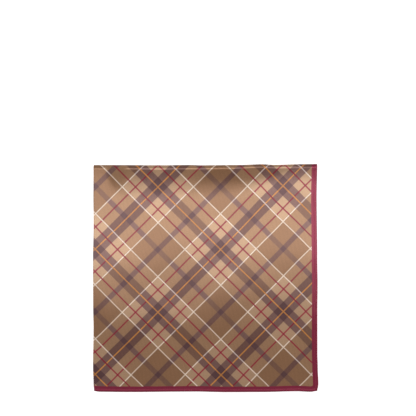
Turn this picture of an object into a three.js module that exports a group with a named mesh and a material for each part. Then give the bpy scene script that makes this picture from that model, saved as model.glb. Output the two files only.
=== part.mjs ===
// A folded headscarf: one square of light cloth with a narrow turned hem, folded in half along its
// left side and then back along its top, so that it lies as four layers with the print up.
// Millimetres. X runs to the right and Y to the top fold, as seen from above, and Z is up.
import * as THREE from 'three';

// Cloth
const SHEET = 1.0; // thickness of a layer
const PITCH = 1.7; // from the middle of one layer to the middle of the next
// The hem is turned to the wrong side, which lies inside the first fold
const HEM = { width: 6, extra: 0.2, slope: 0.6 };
const PAIR = PITCH + SHEET; // thickness of two layers

// Folded square, as seen from above
const WIDTH = 445;
const DEPTH = 451;

// How far each side of the top layer stands out of that square.
// Left and right sides: at is measured down from the top fold.
const LEFT_SIDE = [
  { at: 0, out: -0.9 },
  { at: 60, out: -0.2 },
  { at: 110, out: -0.7 },
  { at: 185, out: 0.5 },
  { at: 280, out: 0.3 },
  { at: 325, out: -0.5 },
  { at: 400, out: 0.5 },
  { at: 437, out: -0.4 },
  { at: 451, out: -1.8 },
];
const RIGHT_SIDE = [
  { at: 0, out: -1.4 },
  { at: 60, out: -1.9 },
  { at: 180, out: -0.9 },
  { at: 237, out: -0.1 },
  { at: 292, out: -0.5 },
  { at: 376, out: -0.4 },
  { at: 405, out: 0.3 },
  { at: 437, out: 1.5 },
  { at: 451, out: -0.6 },
];
// Top and bottom sides: at is measured across from the left fold.
const TOP_SIDE = [
  { at: 0, out: -1.2 },
  { at: 140, out: -1.8 },
  { at: 190, out: -1.3 },
  { at: 215, out: -1.9 },
  { at: 290, out: -1.3 },
  { at: 335, out: 0.2 },
  { at: 360, out: -1 },
  { at: 410, out: 0.4 },
  { at: 445, out: 0.7 },
];
const BOTTOM_SIDE = [
  { at: 0, out: -1.6 },
  { at: 14, out: 0 },
  { at: 70, out: 0.5 },
  { at: 205, out: -0.6 },
  { at: 265, out: 0.6 },
  { at: 335, out: 0.4 },
  { at: 405, out: -1.1 },
  { at: 431, out: 0 },
  { at: 445, out: -1.8 },
];

// The edges of the hidden layers stop short of the top one's, as neither fold is quite square.
// First fold, along the left: how far the inner layers fall short on the right and, by the right end,
// along the bottom. Second fold, along the top: how far the lower layers fall short along the bottom
// and, by the bottom end, on the right and on the left.
const FIRST_FOLD = { right: 1.2, bottom: 1.6 };
const SECOND_FOLD = { bottom: 1.5, right: 1.8, left: 0.8 };

// The soft roll along the top fold: the height of its crest, how far the crest stands in from the
// outermost edge, and how far behind the crest the cloth takes to settle on the layers under it.
const ROLL = [
  { at: 0, crest: 11.6, reach: 5.6, settle: 60 },
  { at: 22, crest: 11.8, reach: 5.8, settle: 62 },
  { at: 75, crest: 17.2, reach: 6.0, settle: 80 },
  { at: 120, crest: 17.0, reach: 6.0, settle: 78 },
  { at: 175, crest: 17.2, reach: 6.2, settle: 72 },
  { at: 260, crest: 17.4, reach: 5.4, settle: 70 },
  { at: 310, crest: 17.2, reach: 4.8, settle: 62 },
  { at: 350, crest: 14.4, reach: 4.6, settle: 54 },
  { at: 395, crest: 12.4, reach: 4.6, settle: 50 },
  { at: 445, crest: 12.6, reach: 5.0, settle: 56 },
];
const RIDGE = { flat: 2.6, bend: 0.9 }; // its narrow top, and how softly the cloth turns down behind it

// Broad, low waves of the two upper layers: rise, length of a wave, heading of its run from +X, start
const WAVES = [
  { rise: 0.7, length: 310, heading: 62, start: 40 },
  { rise: 0.5, length: 205, heading: -24, start: 150 },
  { rise: 0.3, length: 140, heading: 115, start: 250 },
];

const radians = THREE.MathUtils.degToRad;
const ease = (s) => THREE.MathUtils.smoothstep(s, 0, 1);

// The value of a table's column at one place along it, eased from row to row
function along(rows, column, at) {
  const next = rows.findIndex((row) => row.at > at);
  if (next === 0) return rows[0][column];
  if (next < 0) return rows.at(-1)[column];
  const [from, to] = [rows[next - 1], rows[next]];
  return THREE.MathUtils.lerp(from[column], to[column], ease((at - from.at) / (to.at - from.at)));
}

function waves(x, y) {
  return WAVES.reduce((height, { rise, length, heading, start }) => {
    const run = x * Math.cos(radians(heading)) + y * Math.sin(radians(heading));
    return height + rise * (0.5 + 0.5 * Math.sin((2 * Math.PI * run) / length + radians(start)));
  }, 0);
}

// Stations along one axis of the cloth, from its first free edge over the fold to its second.
// A station's run is its distance from the fold as a share, and its turn is the angle round the fold:
// 90 degrees on one side, -90 on the other and between them on the fold itself.
function stations(size, runs, foldSteps, farRuns = runs) {
  const share = (list) => [
    ...list.map((run) => ({ run: run / size })),
    { run: 1 - (HEM.width + HEM.slope) / size },
    { run: 1 - HEM.width / size, hem: true },
    { run: 1, hem: true },
  ];
  const near = share(runs).map((s) => ({ ...s, turn: 90 })).reverse();
  const far = share(farRuns).map((s) => ({ ...s, turn: -90 }));
  const bend = [];
  for (let i = 1; i < foldSteps; i++) bend.push({ run: 0, turn: 90 - (180 * i) / foldSteps });
  return [...near, ...bend, ...far];
}

// Runs from each fold: close together where the cloth bends, then in even steps to the hem's corners
const evenly = (from, to, count) =>
  Array.from({ length: count }, (_, i) => from + ((to - from) * i) / (count - 1));
const ACROSS_RUNS = [0, 10, ...evenly(32, 430, 15)];
const DOWN_RUNS = [0, 1.8, 3.4, 6.5, 11, 17, 24, 32, 41, 51, 62, ...evenly(78, 430, 11)];
const UNDER_RUNS = [0, ...evenly(40, 430, 8)];
const ACROSS = stations(WIDTH, ACROSS_RUNS, 6);
const DOWN = stations(DEPTH, DOWN_RUNS, 12, UNDER_RUNS);

// A point of the cloth at an across station and a down station, moved out of its middle by offset
function point(across, down, offset) {
  const outer = across.turn > 0; // the layer with the print outwards on the top and on the table
  const upper = down.turn > 0;
  const fromTop = down.run * DEPTH;

  const sideOut = (rows, short) => (upper ? along(rows, 'out', fromTop) : rows[0].out - short * down.run);
  const leftOut = sideOut(LEFT_SIDE, SECOND_FOLD.left);
  const rightOut = sideOut(RIGHT_SIDE, SECOND_FOLD.right);
  const foldX = PAIR / 2 - leftOut;
  const edgeX = WIDTH + rightOut - (outer ? 0 : FIRST_FOLD.right);
  const sideRadius = PITCH / 2 + offset;
  const x = foldX + across.run * (edgeX - foldX) - sideRadius * Math.cos(radians(across.turn));
  const lift = sideRadius * Math.sin(radians(across.turn)); // out of the middle of the pair of layers

  const rollHeight = (along(ROLL, 'crest', x) - PAIR) / 2;
  const rollReach = along(ROLL, 'reach', x) - PAIR / 2;
  const foldY = along(TOP_SIDE, 'out', x) - rollReach - PAIR / 2;
  const edgeY =
    -DEPTH -
    along(BOTTOM_SIDE, 'out', x) +
    (outer ? 0 : FIRST_FOLD.bottom * across.run) +
    (upper ? 0 : SECOND_FOLD.bottom);
  const run = down.run * (foldY - edgeY);
  const y = foldY - run + (rollReach + lift) * Math.cos(radians(down.turn));
  let z = PAIR / 2 + rollHeight + (rollHeight + lift) * Math.sin(radians(down.turn));
  if (upper) z -= settled(x, run) * (2 * rollHeight - 2 * PITCH - waves(x, -run));
  return [x, y, z];
}

// How much of the way the upper pair has come down from the crest of the roll, steepest behind the crest
function settled(x, run) {
  const past = (at) => (at - RIDGE.flat + Math.hypot(at - RIDGE.flat, RIDGE.bend)) / 2;
  const behind = past(run) - past(0);
  return 1 - (1 - Math.min(behind / along(ROLL, 'settle', x), 1)) ** 2;
}

// A closed solid of a grid of stations, with one skin on the print side and one on the wrong side
function clothGeometry() {
  const positions = [];
  const index = [];
  const rows = DOWN.length;
  for (const side of [1, -1])
    for (const across of ACROSS)
      for (const down of DOWN) {
        const extra = side < 0 && (across.hem || down.hem) ? HEM.extra : 0;
        positions.push(...point(across, down, side * (SHEET / 2 + extra)));
      }
  const wrongSide = ACROSS.length * rows;
  const quad = (a, b, c, d) => index.push(a, b, c, a, c, d);
  for (let i = 0; i + 1 < ACROSS.length; i++)
    for (let j = 0; j + 1 < rows; j++) {
      const [a, b] = [i * rows + j, (i + 1) * rows + j];
      quad(a, a + 1, b + 1, b);
      quad(wrongSide + a, wrongSide + b, wrongSide + b + 1, wrongSide + a + 1);
    }
  const rim = (a, b) => quad(a, b, wrongSide + b, wrongSide + a);
  for (let i = 0; i + 1 < ACROSS.length; i++) {
    rim(i * rows, (i + 1) * rows);
    rim((i + 2) * rows - 1, (i + 1) * rows - 1);
  }
  for (let j = 0; j + 1 < rows; j++) {
    rim(j + 1, j);
    rim(wrongSide - rows + j, wrongSide - rows + j + 1);
  }
  const geometry = new THREE.BufferGeometry();
  geometry.setAttribute('position', new THREE.Float32BufferAttribute(positions, 3));
  geometry.setIndex(index);
  geometry.computeVertexNormals();
  return geometry;
}

const clothMaterial = new THREE.MeshStandardMaterial({ color: 0xb58f6c, roughness: 0.55, metalness: 0 });
const headscarf = new THREE.Mesh(clothGeometry(), clothMaterial);
headscarf.name = 'headscarf';

// The origin is under the middle of the folded square
const box = new THREE.Box3().setFromObject(headscarf);
headscarf.geometry.translate(-(box.min.x + box.max.x) / 2, -(box.min.y + box.max.y) / 2, 0);

const part = new THREE.Group();
part.add(headscarf);

export default part;
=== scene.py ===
# The looks of a folded headscarf: one thin printed cloth with a turned and stitched hem, folded as its
# CAD solid is. Cloth and print are given in millimetres, and the finished meshes are in metres.
import math
import random

import bpy
import numpy as np
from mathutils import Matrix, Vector


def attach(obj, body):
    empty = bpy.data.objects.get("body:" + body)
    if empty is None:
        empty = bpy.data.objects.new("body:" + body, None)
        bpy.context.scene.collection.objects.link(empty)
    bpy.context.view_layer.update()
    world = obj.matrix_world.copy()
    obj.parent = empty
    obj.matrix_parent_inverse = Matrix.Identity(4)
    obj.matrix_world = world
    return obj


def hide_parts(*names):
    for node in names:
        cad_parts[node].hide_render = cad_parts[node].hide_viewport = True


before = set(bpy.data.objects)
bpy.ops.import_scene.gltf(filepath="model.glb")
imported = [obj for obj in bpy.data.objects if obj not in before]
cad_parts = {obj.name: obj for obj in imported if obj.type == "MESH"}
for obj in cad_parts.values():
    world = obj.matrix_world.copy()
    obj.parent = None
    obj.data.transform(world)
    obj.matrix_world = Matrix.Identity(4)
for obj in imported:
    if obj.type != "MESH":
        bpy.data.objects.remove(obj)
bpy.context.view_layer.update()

MM = 0.001

# Folded square, and the spacing of its layers, as in the part's source
SHEET = 1.0
PITCH = 1.7
PAIR = PITCH + SHEET
WIDTH = 445
DEPTH = 451

# How far each side of the top layer stands out of that square, by the distance from its top or left end
LEFT_SIDE = [
    {"at": 0, "out": -0.9},
    {"at": 60, "out": -0.2},
    {"at": 110, "out": -0.7},
    {"at": 185, "out": 0.5},
    {"at": 280, "out": 0.3},
    {"at": 325, "out": -0.5},
    {"at": 400, "out": 0.5},
    {"at": 437, "out": -0.4},
    {"at": 451, "out": -1.8},
]
RIGHT_SIDE = [
    {"at": 0, "out": -1.4},
    {"at": 60, "out": -1.9},
    {"at": 180, "out": -0.9},
    {"at": 237, "out": -0.1},
    {"at": 292, "out": -0.5},
    {"at": 376, "out": -0.4},
    {"at": 405, "out": 0.3},
    {"at": 437, "out": 1.5},
    {"at": 451, "out": -0.6},
]
TOP_SIDE = [
    {"at": 0, "out": -1.2},
    {"at": 140, "out": -1.8},
    {"at": 190, "out": -1.3},
    {"at": 215, "out": -1.9},
    {"at": 290, "out": -1.3},
    {"at": 335, "out": 0.2},
    {"at": 360, "out": -1.0},
    {"at": 410, "out": 0.4},
    {"at": 445, "out": 0.7},
]
BOTTOM_SIDE = [
    {"at": 0, "out": -1.6},
    {"at": 14, "out": 0},
    {"at": 70, "out": 0.5},
    {"at": 205, "out": -0.6},
    {"at": 265, "out": 0.6},
    {"at": 335, "out": 0.4},
    {"at": 405, "out": -1.1},
    {"at": 431, "out": 0},
    {"at": 445, "out": -1.8},
]
# How far the hidden layers' edges stop short of the top one's
FIRST_FOLD = {"right": 1.2, "bottom": 1.6}
SECOND_FOLD = {"bottom": 1.5, "right": 1.8, "left": 0.8}

# The roll along the top fold: height of its crest, how far that stands in, and the run behind it
ROLL = [
    {"at": 0, "crest": 11.6, "reach": 5.6, "settle": 60},
    {"at": 22, "crest": 11.8, "reach": 5.8, "settle": 62},
    {"at": 75, "crest": 17.2, "reach": 6.0, "settle": 80},
    {"at": 120, "crest": 17.0, "reach": 6.0, "settle": 78},
    {"at": 175, "crest": 17.2, "reach": 6.2, "settle": 72},
    {"at": 260, "crest": 17.4, "reach": 5.4, "settle": 70},
    {"at": 310, "crest": 17.2, "reach": 4.8, "settle": 62},
    {"at": 350, "crest": 14.4, "reach": 4.6, "settle": 54},
    {"at": 395, "crest": 12.4, "reach": 4.6, "settle": 50},
    {"at": 445, "crest": 12.6, "reach": 5.0, "settle": 56},
]
RIDGE = {"flat": 2.6, "bend": 0.9}  # the crest's narrow top, and how softly the cloth turns down behind it

# Waves of the upper layers: the solid's broad ones, and ripples too low for it, with angles in degrees
WAVES = [
    {"rise": 0.7, "length": 310, "heading": 62, "start": 40},
    {"rise": 0.5, "length": 205, "heading": -24, "start": 150},
    {"rise": 0.3, "length": 140, "heading": 115, "start": 250},
]
RIPPLES = [
    {"rise": 0.12, "length": 96, "heading": 78, "start": 20},
    {"rise": 0.08, "length": 63, "heading": 8, "start": 200},
    {"rise": 0.05, "length": 41, "heading": 132, "start": 310},
]

# The cloth laid flat, from its two fold lines: half its sides, and half the arcs over the folds
HALF_WIDTH = WIDTH
HALF_DEPTH = DEPTH + 3
SIDE_ARC = math.pi / 2 * PITCH / 2
TOP_ARC = 9

# Cloth and hem. The hem's seam is a groove, and the cloth puckers unevenly along the edge
CLOTH = 0.5  # thickness
PRINTED_FACE = 0.29  # out of the middle of the solid's sheet
HEM = {"width": 6.0, "slope": 0.8, "thickness": 0.95, "crest": 0.14}
SEAM = {"inset": 5.1, "depth": 0.12, "width": 0.5}
EDGE = {"rounding": 0.6, "blunt": 0.12}
PUCKER = {"rise": 0.10, "length": 27, "reach": 13, "sway": 2, "sway_lengths": 5.3}
STITCH = {"pitch": 2.7, "length": 2.0, "width": 0.42, "height": 0.16, "sunk": 0.10}
STITCH_CHANCE = {"seed": 7, "shortest": 0.9, "longest": 1.08, "slant": 0.08}

# A stitch's rings along it, as shares of half its length and of its full size, and its four sides
STITCH_RINGS = [
    {"run": -1.0, "size": 0.35},
    {"run": -0.6, "size": 1.0},
    {"run": 0.6, "size": 1.0},
    {"run": 1.0, "size": 0.35},
]
STITCH_SIDES = [
    {"wide": -1, "high": 0, "sunk": 0},
    {"wide": 0, "high": 1, "sunk": 0},
    {"wide": 1, "high": 0, "sunk": 0},
    {"wide": 0, "high": 0, "sunk": 1},
]

# Steps of the mesh: places behind each fold, places in from the hem's edge, and the step between them
ARC_STEPS = {"side": 5, "top": 12}
ACROSS_NEAR = [0.5, 1.5, 3, 5, 8]
UPPER_NEAR = [0.5, 1, 1.5, 1.9, 2.3, 2.7, 3.1, 3.6, 4.3, 5.4, 7, 9.5, 12.5, 16, 20, 24, 28]
UNDER_NEAR = [1.5, 5]
HEM_STEPS = [9.5, 7.4, 6.5, 6.0, 5.5, 5.1, 4.7, 4.0, 3.0, 2.0, 1.2, 0.6, 0.25, 0]
STEP = {"across": 5.8, "upper": 5.0, "under": 13}

# Parts of the bake map that the cloth is laid out on: left, bottom, width and height
BAKE = {
    "print": (0.003, 0.07, 0.494, 0.927),
    "reverse": (0.503, 0.07, 0.494, 0.927),
    "stitches": (0.003, 0.02, 0.994, 0.044),
    "rims": (0.003, 0.003, 0.994, 0.012),
}
STITCHES_ABREAST = 160
STITCH_CELLS = (5, 3)  # a cell for each face of a stitch
LOW, HIGH = 0.1, 0.9  # where a small face begins and ends in its cell

# Materials of the piece, in the order of their numbers
MATERIALS = ("print", "reverse", "thread")

# Inks, as linear light. A tint shades the ground
GROUND = (0.58, 0.37, 0.228, 1)
BROWN_TINT = (0.75, 0.67, 0.61, 1)
PLUM_TINT = (0.43, 0.365, 0.51, 1)
AMBER = (0.79, 0.33, 0.075, 1)
CREAM = (0.98, 0.84, 0.71, 1)
BURGUNDY = (0.36, 0.026, 0.056, 1)
BORDER_INK = (0.31, 0.028, 0.070, 1)
SEEN_THROUGH = (0.66, 0.52, 0.38, 1)
REVERSE_FADE = 0.45  # how much of that the reverse shows
WHITE = (1, 1, 1, 1)

# The check runs on the bias, and mirrors itself every half repeat. Stripes from there, bare without ink
HALF_REPEAT = 88
CHECK_START = (52, 118)
TINTS = [
    {"to": 14, "ink": PLUM_TINT},
    {"to": 50, "ink": None},
    {"to": 83, "ink": BROWN_TINT},
    {"to": 88, "ink": PLUM_TINT},
]
LINES = [
    {"to": 1.2, "ink": AMBER},
    {"to": 30, "ink": None},
    {"to": 32.9, "ink": BURGUNDY},
    {"to": 49, "ink": None},
    {"to": 51.1, "ink": CREAM},
    {"to": 88, "ink": None},
]
INK_EDGE = 0.5  # how softly an ink ends
LINE_COVER = 0.92
CROSSING = {"tint": 0.75, "line": 0.45}  # how much the tint of a stripe shows on one that it crosses
BORDER = {"width": 11.3, "wander": 0.3, "wander_size": 17}
HATCH = {"pitch": 2.6, "heading": 5, "depth": 0.13}

# Unevenness of the colour and of the shine, with the size of its features
MOTTLE = {"size": 110, "detail": 4, "depth": 0.033, "roughness": 0.02}
GRAIN = {"size": 2.2, "detail": 1, "depth": 0.1}
THREAD_GRAIN = {"size": 0.6, "detail": 1, "middle": 1.25, "depth": 0.25}

# Relief of the weave: ribs that run on the bias, and slubs
RIBS = {"pitch": 1.1, "lean": 1.15, "height": 0.015}
SLUBS = {"size": 2.4, "height": 0.013}
RELIEF = 0.2  # strength of both

# Shine. The printed side mirrors like satin, its lines less, and the reverse is dull
PRINT_SHINE = {"roughness": 0.15, "metallic": 0.34, "on_lines": -0.18}
REVERSE_SHINE = {"roughness": 0.6, "metallic": 0.1}
THREAD_SHINE = {"roughness": 0.38, "metallic": 0.15}
IOR = 1.5

# Floor and room. The room dims between two shares of the way round to the front
FLOOR = {"reach": 3, "colour": (0.9, 0.9, 0.9, 1), "roughness": 0.9, "glow": 0.75}
ROOM = {"strength": 0.28, "dims_from": 0.48, "dims_to": 0.74}
ROOM_PALE = (1, 0.93, 0.89, 1)
ROOM_DIM = (0.18, 0.09, 0.05, 1)

# A soft box over the upper half of the scarf, its dimmer edge, and a window on either side, in metres.
# Each is a rectangle that faces a point of the floor, and what it gives is its radiance
LIGHTS = [
    {"name": "soft_box", "at": (0.05, 0.11, 1), "to": (0.05, 0.11), "size": (0.9, 0.26), "gives": 1.85},
    {"name": "soft_edge", "at": (0.05, -0.08, 1), "to": (0.05, -0.08), "size": (0.9, 0.12), "gives": 0.9},
    {"name": "side_window", "at": (-1.6, 0.3, 1.2), "to": (0, 0), "size": (1.3, 1.3), "gives": 2.35},
    {"name": "side_window", "at": (1.6, 0.3, 1.2), "to": (0, 0), "size": (1.3, 1.3), "gives": 2.35},
]

# The photograph's framing: its side in pixels, one pixel on the cloth, and the scarf's middle in pixels
FRAME_PIXELS = 416
PIXEL = 1.988
SCARF_AT = (205.7, 277.8)
LENS, SENSOR = 90, 36


def along(rows, column, at):
    """A table's column at places along it, eased from row to row."""
    places = np.array([row["at"] for row in rows], float)
    values = np.array([row[column] for row in rows], float)
    at = np.clip(at, places[0], places[-1])
    i = np.clip(np.searchsorted(places, at, side="right") - 1, 0, len(rows) - 2)
    return values[i] + (values[i + 1] - values[i]) * ease((at - places[i]) / (places[i + 1] - places[i]))


def ease(share):
    share = np.clip(share, 0, 1)
    return share * share * (3 - 2 * share)


def waves(rows, x, y):
    height = 0
    for row in rows:
        heading = math.radians(row["heading"])
        turn = 2 * math.pi * (x * math.cos(heading) + y * math.sin(heading)) / row["length"]
        height = height + row["rise"] * (0.5 + 0.5 * np.sin(turn + math.radians(row["start"])))
    return height


def behind_ridge(run):
    """How far past the crest's narrow top a run is, with a soft start."""

    def past(at):
        return (at - RIDGE["flat"] + np.hypot(at - RIDGE["flat"], RIDGE["bend"])) / 2

    return past(run) - past(0)


def fold(across, down, offset):
    """Points of the folded cloth, from places on the flat cloth.

    across is positive on the layers whose print faces out, and down on the upper pair. offset is the
    distance out of the middle of the solid's sheet, towards the print.
    """
    outer = across > 0
    upper = down > 0
    across_run = np.clip(abs(across) - SIDE_ARC, 0, None) / (HALF_WIDTH - SIDE_ARC)
    down_run = np.clip(abs(down) - TOP_ARC, 0, None) / (HALF_DEPTH - TOP_ARC)
    across_turn = math.pi / 2 * np.clip(across / SIDE_ARC, -1, 1)
    down_turn = math.pi / 2 * np.clip(down / TOP_ARC, -1, 1)

    def side_out(rows, short):
        return np.where(upper, along(rows, "out", down_run * DEPTH), rows[0]["out"] - short * down_run)

    fold_x = PAIR / 2 - side_out(LEFT_SIDE, SECOND_FOLD["left"])
    edge_x = WIDTH + side_out(RIGHT_SIDE, SECOND_FOLD["right"]) - np.where(outer, 0, FIRST_FOLD["right"])
    side_radius = PITCH / 2 + offset
    x = fold_x + across_run * (edge_x - fold_x) - side_radius * np.cos(across_turn)
    lift = side_radius * np.sin(across_turn)

    roll_height = (along(ROLL, "crest", x) - PAIR) / 2
    roll_reach = along(ROLL, "reach", x) - PAIR / 2
    fold_y = along(TOP_SIDE, "out", x) - roll_reach - PAIR / 2
    edge_y = -DEPTH - along(BOTTOM_SIDE, "out", x)
    edge_y = edge_y + np.where(outer, 0, FIRST_FOLD["bottom"] * across_run)
    edge_y = edge_y + np.where(upper, 0, SECOND_FOLD["bottom"])
    run = down_run * (fold_y - edge_y)
    y = fold_y - run + (roll_reach + lift) * np.cos(down_turn)
    z = PAIR / 2 + roll_height + (roll_height + lift) * np.sin(down_turn)

    settled = 1 - (1 - np.clip(behind_ridge(run) / along(ROLL, "settle", x), 0, 1)) ** 2
    layers = 2 * PITCH + waves(WAVES + RIPPLES, x, -run)
    z = z - np.where(upper, settled * (2 * roll_height - layers), 0)
    return np.stack(np.broadcast_arrays(x, y, z), axis=-1)


def hem_inset(across, down):
    return np.minimum(HALF_WIDTH - abs(across), HALF_DEPTH - abs(down))


def printed_face(across, down):
    """How far the printed face stands out, with the hem's crest, its seam and its puckers."""
    inset = hem_inset(across, down)
    crest = HEM["crest"] * np.sin(np.pi * np.clip(inset / SEAM["inset"], 0, 1))
    groove = SEAM["depth"] * np.exp(-(((inset - SEAM["inset"]) / SEAM["width"]) ** 2))
    along_hem = np.where(HALF_WIDTH - abs(across) < HALF_DEPTH - abs(down), down, across)
    turn = 2 * np.pi * along_hem / PUCKER["length"]
    sway = PUCKER["sway"] * np.sin(turn / PUCKER["sway_lengths"])
    pucker = PUCKER["rise"] * np.clip(1 - inset / PUCKER["reach"], 0, 1) ** 2
    return PRINTED_FACE + crest - groove + pucker * np.sin(turn + sway)


def skins(across, down):
    """How far the cloth's two faces stand out: the hem is turned to the reverse, and the edge is round."""
    inset = hem_inset(across, down)
    in_hem = ease((HEM["width"] - inset) / HEM["slope"])
    half = (CLOTH + (HEM["thickness"] - CLOTH) * in_hem) / 2
    middle = printed_face(across, down) - half
    rounded = half * np.sqrt(1 - (1 - np.clip(inset / EDGE["rounding"], EDGE["blunt"], 1)) ** 2)
    return middle + rounded, middle - rounded


def steps(half, arc, arc_steps, near, step):
    """Places from a fold line to the free edge."""
    start, stop = arc + near[-1], half - HEM_STEPS[0]
    count = round((stop - start) / step)
    return [
        *(arc * i / arc_steps for i in range(1, arc_steps + 1)),
        *(arc + run for run in near),
        *(start + (stop - start) * i / count for i in range(1, count)),
        *(half - inset for inset in HEM_STEPS),
    ]


def in_part(name, u, v):
    left, bottom, width, height = BAKE[name]
    return np.stack(np.broadcast_arrays(left + u * width, bottom + v * height), axis=-1)


class Quads:
    """Vertices and quads of a piece, each quad with its material and its places on the bake map."""

    def __init__(self):
        self.points, self.flat, self.faces, self.slots, self.bake = [], [], [], [], []
        self.count = 0

    def add_points(self, flat, offset):
        """Adds points of the folded cloth, and returns the number of the first."""
        self.points.append(fold(flat[:, 0], flat[:, 1], offset))
        self.flat.append(flat)
        self.count += len(flat)
        return self.count - len(flat)

    def add_faces(self, faces, material, bake):
        self.faces.append(faces)
        self.slots.append(np.full(len(faces), MATERIALS.index(material)))
        self.bake.append(bake.reshape(-1, 2))

    def build(self, name, materials):
        """The piece, with the middle of its box over the origin."""
        points = np.concatenate(self.points)
        points[:, :2] -= (points.min(0) + points.max(0))[:2] / 2
        faces = np.concatenate(self.faces)
        flat = np.concatenate(self.flat)[faces].reshape(-1, 2)
        piece = new_piece(name, points * MM, faces, materials)
        piece.data.polygons.foreach_set("material_index", np.concatenate(self.slots).astype(np.int32))
        for layer, places in (("Flat", flat * MM), ("OFBake", np.concatenate(self.bake))):
            piece.data.uv_layers.new(name=layer).data.foreach_set("uv", places.astype(np.float32).ravel())
        return piece


def new_piece(name, points, faces, materials):
    mesh = bpy.data.meshes.new(name)
    mesh.from_pydata(points.tolist(), [], faces.tolist())
    for material in materials:
        mesh.materials.append(material)
    mesh.shade_smooth()
    piece = bpy.data.objects.new(name, mesh)
    bpy.context.scene.collection.objects.link(piece)
    return piece


def add_cloth(quads):
    """Both faces of the cloth and the rims between them."""
    across_half = steps(HALF_WIDTH, SIDE_ARC, ARC_STEPS["side"], ACROSS_NEAR, STEP["across"])
    upper_half = steps(HALF_DEPTH, TOP_ARC, ARC_STEPS["top"], UPPER_NEAR, STEP["upper"])
    under_half = steps(HALF_DEPTH, TOP_ARC, ARC_STEPS["top"], UNDER_NEAR, STEP["under"])
    across = np.array([*(-a for a in reversed(across_half)), 0, *across_half])
    down = np.array([*(-d for d in reversed(under_half)), 0, *upper_half])
    columns, rows = len(across), len(down)
    flat = np.stack(np.meshgrid(across, down, indexing="ij"), axis=-1).reshape(-1, 2)
    share = flat / (2 * HALF_WIDTH, 2 * HALF_DEPTH) + 0.5

    i, j = np.meshgrid(np.arange(columns - 1), np.arange(rows - 1), indexing="ij")
    a = (i * rows + j).ravel()
    faces = np.stack([a, a + 1, a + rows + 1, a + rows], axis=1)
    for name, offset in zip(("print", "reverse"), skins(flat[:, 0], flat[:, 1])):
        first = quads.add_points(flat, offset)
        facing = faces if name == "print" else faces[:, ::-1]
        quads.add_faces(facing + first, name, in_part(name, share[:, 0], share[:, 1])[facing])

    side = np.arange(rows - 1)
    end = np.arange(columns - 1) * rows
    last = (columns - 1) * rows
    low = np.concatenate([side + 1, last + side, end, end + 2 * rows - 1])
    high = np.concatenate([side, last + side + 1, end + rows, end + rows - 1])
    rims = np.stack([low, high, high + len(flat), low + len(flat)], axis=1)
    place = np.arange(len(rims))[:, None]
    corners = in_part("rims", (place + (LOW, HIGH, HIGH, LOW)) / len(rims), np.array([1, 1, 0, 0]))
    quads.add_faces(rims, "print", corners)


def stitch_places():
    """Where the stitches round the hem lie on the flat cloth, and the axis along which each one runs."""
    places = []
    for axis, half, other_half in ((0, HALF_WIDTH, HALF_DEPTH), (1, HALF_DEPTH, HALF_WIDTH)):
        run = half - SEAM["inset"]
        count = round(2 * run / STITCH["pitch"])
        for k in range(count):
            for side in (-1, 1):
                place = [0, 0]
                place[axis] = run * (2 * k + 1 - count) / count
                place[1 - axis] = side * (other_half - SEAM["inset"])
                places.append((place, axis))
    return places


def stitch_faces():
    """Quads of one stitch: its sides from ring to ring, and its two ends."""
    sides, last = len(STITCH_SIDES), len(STITCH_RINGS) - 1
    walls = []
    for ring in range(last):
        for side in range(sides):
            here, beside = sides * ring + side, sides * ring + (side + 1) % sides
            walls.append((here, beside, beside + sides, here + sides))
    return np.array([*walls, range(sides - 1, -1, -1), range(sides * last, sides * last + sides)])


def add_stitches(quads):
    """Short threads, each a closed four-sided bar with narrow ends, sunk in the seam."""
    faces = stitch_faces()
    places = stitch_places()
    stitches_up = math.ceil(len(places) / STITCHES_ABREAST)
    cells = np.arange(len(faces))[:, None]
    cell_u = (cells % STITCH_CELLS[0] + np.array([LOW, HIGH, HIGH, LOW])) / STITCH_CELLS[0]
    cell_v = (cells // STITCH_CELLS[0] + np.array([LOW, LOW, HIGH, HIGH])) / STITCH_CELLS[1]
    chance = random.Random(STITCH_CHANCE["seed"])
    for number, (place, axis) in enumerate(places):
        length = STITCH["length"] / 2 * chance.uniform(STITCH_CHANCE["shortest"], STITCH_CHANCE["longest"])
        slant = chance.uniform(-STITCH_CHANCE["slant"], STITCH_CHANCE["slant"])
        flat, height = [], []
        for ring in STITCH_RINGS:
            for side in STITCH_SIDES:
                run = ring["run"] * length
                spot = list(place)
                spot[axis] += run
                spot[1 - axis] += side["wide"] * ring["size"] * STITCH["width"] / 2 + slant * run
                flat.append(spot)
                top = side["high"] * ring["size"] * STITCH["height"]
                height.append(top - side["sunk"] * STITCH["sunk"])
        flat = np.array(flat)
        first = quads.add_points(flat, printed_face(flat[:, 0], flat[:, 1]) + height)
        facing = faces if axis == 0 else faces[:, ::-1]
        u = (number % STITCHES_ABREAST + cell_u) / STITCHES_ABREAST
        v = (number // STITCHES_ABREAST + cell_v) / stitches_up
        quads.add_faces(facing + first, "thread", in_part("stitches", u, v))


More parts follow.
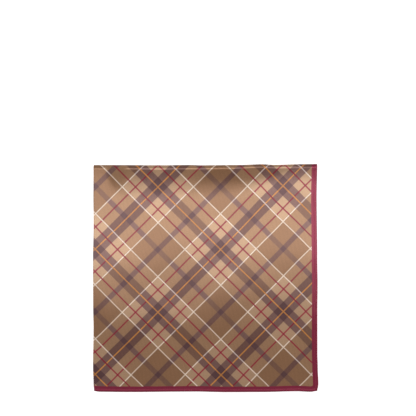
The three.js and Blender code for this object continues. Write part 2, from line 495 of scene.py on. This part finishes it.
class Nodes:
    """Shorthand for the nodes of one material or world."""

    def __init__(self, owner):
        owner.use_nodes = True
        self.tree = owner.node_tree
        self.tree.nodes.clear()

    def add(self, kind, inputs=None, **settings):
        node = self.tree.nodes.new(kind)
        for key, value in settings.items():
            setattr(node, key, value)
        for key, value in (inputs or {}).items():
            self.feed(node.inputs[key], value)
        return node

    def feed(self, socket, value):
        if isinstance(value, bpy.types.NodeSocket):
            self.tree.links.new(value, socket)
        else:
            socket.default_value = value

    def math(self, operation, *values, clamp=False):
        node = self.add("ShaderNodeMath", operation=operation, use_clamp=clamp)
        for socket, value in zip(node.inputs, values):
            self.feed(socket, value)
        return node.outputs[0]

    def swing(self, value, middle, reach):
        """middle plus or minus reach, for a value from -1 to 1."""
        return self.math("MULTIPLY_ADD", value, reach, middle)

    def mix(self, factor, a, b, blend="MIX"):
        node = self.add("ShaderNodeMix", data_type="RGBA", blend_type=blend)
        for socket, value in ((0, factor), (6, a), (7, b)):
            self.feed(node.inputs[socket], value)
        return node.outputs[2]

    def shade(self, colour, *shares):
        for share in shares:
            grey = self.add("ShaderNodeCombineColor", {"Red": share, "Green": share, "Blue": share})
            colour = self.mix(1, colour, grey.outputs["Color"], "MULTIPLY")
        return colour

    def noise(self, vector, size, detail=2):
        """Noise from about -1 to 1, with features of a size in millimetres."""
        inputs = {"Vector": vector, "Scale": 1 / (size * MM), "Detail": detail}
        noise = self.add("ShaderNodeTexNoise", inputs).outputs["Fac"]
        return self.math("MULTIPLY_ADD", noise, 3, -1.5)

    def ramp(self, value, stops):
        node = self.add("ShaderNodeValToRGB", {"Fac": value})
        elements = node.color_ramp.elements
        elements.remove(elements[1])
        elements[0].position, elements[0].color = stops[0]
        for position, colour in stops[1:]:
            elements.new(position).color = colour
        return node.outputs["Color"], node.outputs["Alpha"]

    def finish(self, shader, kind="ShaderNodeOutputMaterial"):
        self.feed(self.add(kind).inputs["Surface"], shader.outputs[0])


def stripe_stops(stripes):
    """Ramp stops for stripes over half a repeat. A bare one is clear, with the colour of its neighbour."""
    stops = []
    for stripe, after in zip(stripes, stripes[1:]):
        left = stripe["ink"] or (*after["ink"][:3], 0)
        right = after["ink"] or (*stripe["ink"][:3], 0)
        stops.append(((stripe["to"] - INK_EDGE / 2) / HALF_REPEAT, left))
        stops.append(((stripe["to"] + INK_EDGE / 2) / HALF_REPEAT, right))
    return stops


def check_print(n, across, down):
    """The printed check on the bias, and how much of it is a line's ink."""
    diagonals = (n.math("ADD", across, down), n.math("SUBTRACT", across, down))
    tints, lines = [], []
    colour, tinted, covered = GROUND, 0.0, 0.0
    for diagonal, start in zip(diagonals, CHECK_START):
        place = n.math("MULTIPLY_ADD", diagonal, math.sqrt(0.5), start)
        share = n.math("PINGPONG", n.math("DIVIDE", place, HALF_REPEAT), 1.0)
        tint, cover = n.ramp(share, stripe_stops(TINTS))
        tints.append(n.mix(cover, WHITE, tint))
        strength = n.math("MULTIPLY_ADD", tinted, CROSSING["tint"] - 1, 1.0)
        colour = n.mix(strength, colour, tints[-1], "MULTIPLY")
        tinted = n.math("MAXIMUM", tinted, cover)
        lines.append(n.ramp(share, stripe_stops(LINES)))

    heading = math.radians(HATCH["heading"])
    towards = n.math("MULTIPLY_ADD", down, math.sin(heading), n.math("MULTIPLY", across, math.cos(heading)))
    hatch = n.math("SINE", n.math("MULTIPLY", towards, 2 * math.pi / HATCH["pitch"]))
    depth = n.math("MULTIPLY", tinted, HATCH["depth"])
    colour = n.shade(colour, n.math("MULTIPLY_ADD", hatch, depth, 1.0))

    for (ink, cover), other in zip(lines, reversed(tints)):
        crossed = n.mix(CROSSING["line"], ink, n.mix(1, ink, other, "MULTIPLY"))
        colour = n.mix(n.math("MULTIPLY", cover, LINE_COVER), colour, crossed)
        covered = n.math("MAXIMUM", covered, cover)
    return colour, covered


def within(n, width, across, down):
    """1 nearer to the edge of the cloth than a width and 0 inside it."""
    inset = n.math(
        "MINIMUM",
        n.math("SUBTRACT", HALF_WIDTH, n.math("ABSOLUTE", across)),
        n.math("SUBTRACT", HALF_DEPTH, n.math("ABSOLUTE", down)),
    )
    return n.math("DIVIDE", n.math("SUBTRACT", width, inset), INK_EDGE, clamp=True)


def weave_normal(n, flat, across, down):
    """Fine twill ribs with slubs."""
    rate = 2 * math.pi / RIBS["pitch"]
    turn = n.math("MULTIPLY", n.math("MULTIPLY_ADD", down, RIBS["lean"], across), rate)
    ribs = {"Height": n.math("SINE", turn), "Strength": RELIEF, "Distance": RIBS["height"] * MM}
    slubs = {"Height": n.noise(flat, SLUBS["size"]), "Strength": RELIEF, "Distance": SLUBS["height"] * MM}
    slubs["Normal"] = n.add("ShaderNodeBump", ribs).outputs[0]
    return n.add("ShaderNodeBump", slubs).outputs[0]


def cloth_material(name):
    """The print. On the reverse it is paler and dull, but for the hem, which is turned over."""
    material = bpy.data.materials.new(name)
    n = Nodes(material)
    flat = n.add("ShaderNodeUVMap", uv_map="Flat").outputs["UV"]
    split = n.add("ShaderNodeSeparateXYZ", {"Vector": flat})
    across = n.math("DIVIDE", split.outputs["X"], MM)
    down = n.math("DIVIDE", split.outputs["Y"], MM)
    check, covered = check_print(n, across, down)
    border_width = n.swing(n.noise(flat, BORDER["wander_size"]), BORDER["width"], BORDER["wander"])
    in_border = within(n, border_width, across, down)
    mottle = n.noise(flat, MOTTLE["size"], MOTTLE["detail"])
    grain = n.noise(flat, GRAIN["size"], GRAIN["detail"])
    colour = n.mix(in_border, check, BORDER_INK)
    colour = n.shade(colour, n.swing(mottle, 1.0, MOTTLE["depth"]), n.swing(grain, 1.0, GRAIN["depth"]))

    shine = REVERSE_SHINE if name == "reverse" else PRINT_SHINE
    metallic = shine["metallic"]
    if name == "reverse":
        faded = n.swing(within(n, HEM["width"], across, down), REVERSE_FADE, -REVERSE_FADE)
        colour = n.mix(faded, colour, SEEN_THROUGH)
    else:
        lines = n.math("MULTIPLY", covered, n.math("SUBTRACT", 1.0, in_border))
        metallic = n.math("MULTIPLY_ADD", lines, shine["on_lines"], metallic)
    shader = {
        "Base Color": colour,
        "Roughness": n.swing(mottle, shine["roughness"], MOTTLE["roughness"]),
        "Metallic": metallic,
        "Normal": weave_normal(n, flat, across, down),
        "IOR": IOR,
    }
    n.finish(n.add("ShaderNodeBsdfPrincipled", shader))
    return material


def thread_material(name):
    material = bpy.data.materials.new(name)
    n = Nodes(material)
    flat = n.add("ShaderNodeUVMap", uv_map="Flat").outputs["UV"]
    grain = n.noise(flat, THREAD_GRAIN["size"], THREAD_GRAIN["detail"])
    colour = n.shade(BORDER_INK, n.swing(grain, THREAD_GRAIN["middle"], THREAD_GRAIN["depth"]))
    shine = {"Roughness": THREAD_SHINE["roughness"], "Metallic": THREAD_SHINE["metallic"]}
    n.finish(n.add("ShaderNodeBsdfPrincipled", {"Base Color": colour, **shine}))
    return material


def add_floor():
    """White paper, wide enough for any view. It lights the cloth, but isn't mirrored in it."""
    material = bpy.data.materials.new("paper")
    n = Nodes(material)
    paper = {"Base Color": FLOOR["colour"], "Roughness": FLOOR["roughness"]}
    glow = {"Emission Color": WHITE, "Emission Strength": FLOOR["glow"]}
    n.finish(n.add("ShaderNodeBsdfPrincipled", {**paper, **glow}))
    corners = np.array([(-1, -1, 0), (1, -1, 0), (1, 1, 0), (-1, 1, 0)]) * FLOOR["reach"]
    floor = new_piece("floor", corners, np.array([[0, 1, 2, 3]]), [material])
    floor.visible_glossy = False


def add_room():
    """Pale light from all round but the front, which is dim and warm, and plain white behind the floor."""
    world = bpy.data.worlds.new("room")
    n = Nodes(world)
    towards = n.add("ShaderNodeSeparateXYZ", {"Vector": n.add("ShaderNodeTexCoord").outputs["Generated"]})
    front = n.math("MULTIPLY_ADD", towards.outputs["Y"], -1.0, 0.0, clamp=True)
    colour, _ = n.ramp(front, [(ROOM["dims_from"], ROOM_PALE), (ROOM["dims_to"], ROOM_DIM)])
    light = n.add("ShaderNodeBackground", {"Color": colour, "Strength": ROOM["strength"]})
    white = n.add("ShaderNodeBackground", {"Color": WHITE, "Strength": 1.0})
    seen = n.add("ShaderNodeLightPath").outputs["Is Camera Ray"]
    mixed = n.add("ShaderNodeMixShader", {0: seen, 1: light.outputs[0], 2: white.outputs[0]})
    n.finish(mixed, "ShaderNodeOutputWorld")
    bpy.context.scene.world = world


def add_light(row):
    width, height = row["size"]
    light = bpy.data.lights.new(row["name"], "AREA")
    light.shape = "RECTANGLE"
    light.size, light.size_y = width, height
    light.energy = row["gives"] * math.pi * width * height
    lamp = bpy.data.objects.new(row["name"], light)
    lamp.location = row["at"]
    way = Vector((*row["to"], 0)) - Vector(row["at"])
    lamp.rotation_euler = way.to_track_quat("-Z", "Y").to_euler()
    lamp.visible_camera = False
    bpy.context.scene.collection.objects.link(lamp)


def add_camera():
    """Straight above, with the scarf where it lies in the photograph."""
    data = bpy.data.cameras.new("camera")
    data.lens, data.sensor_width = LENS, SENSOR
    camera = bpy.data.objects.new("camera", data)
    camera.location = (
        (FRAME_PIXELS / 2 - SCARF_AT[0]) * PIXEL * MM,
        (SCARF_AT[1] - FRAME_PIXELS / 2) * PIXEL * MM,
        FRAME_PIXELS * PIXEL * MM * LENS / SENSOR,
    )
    bpy.context.scene.collection.objects.link(camera)
    bpy.context.scene.camera = camera


quads = Quads()
add_cloth(quads)
add_stitches(quads)
materials = [thread_material(name) if name == "thread" else cloth_material(name) for name in MATERIALS]
headscarf = quads.build("printed_cloth", materials)
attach(headscarf, "root")
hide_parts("headscarf")

add_floor()
add_room()
for row in LIGHTS:
    add_light(row)
add_camera()
bpy.context.scene.view_settings.view_transform = "Standard"
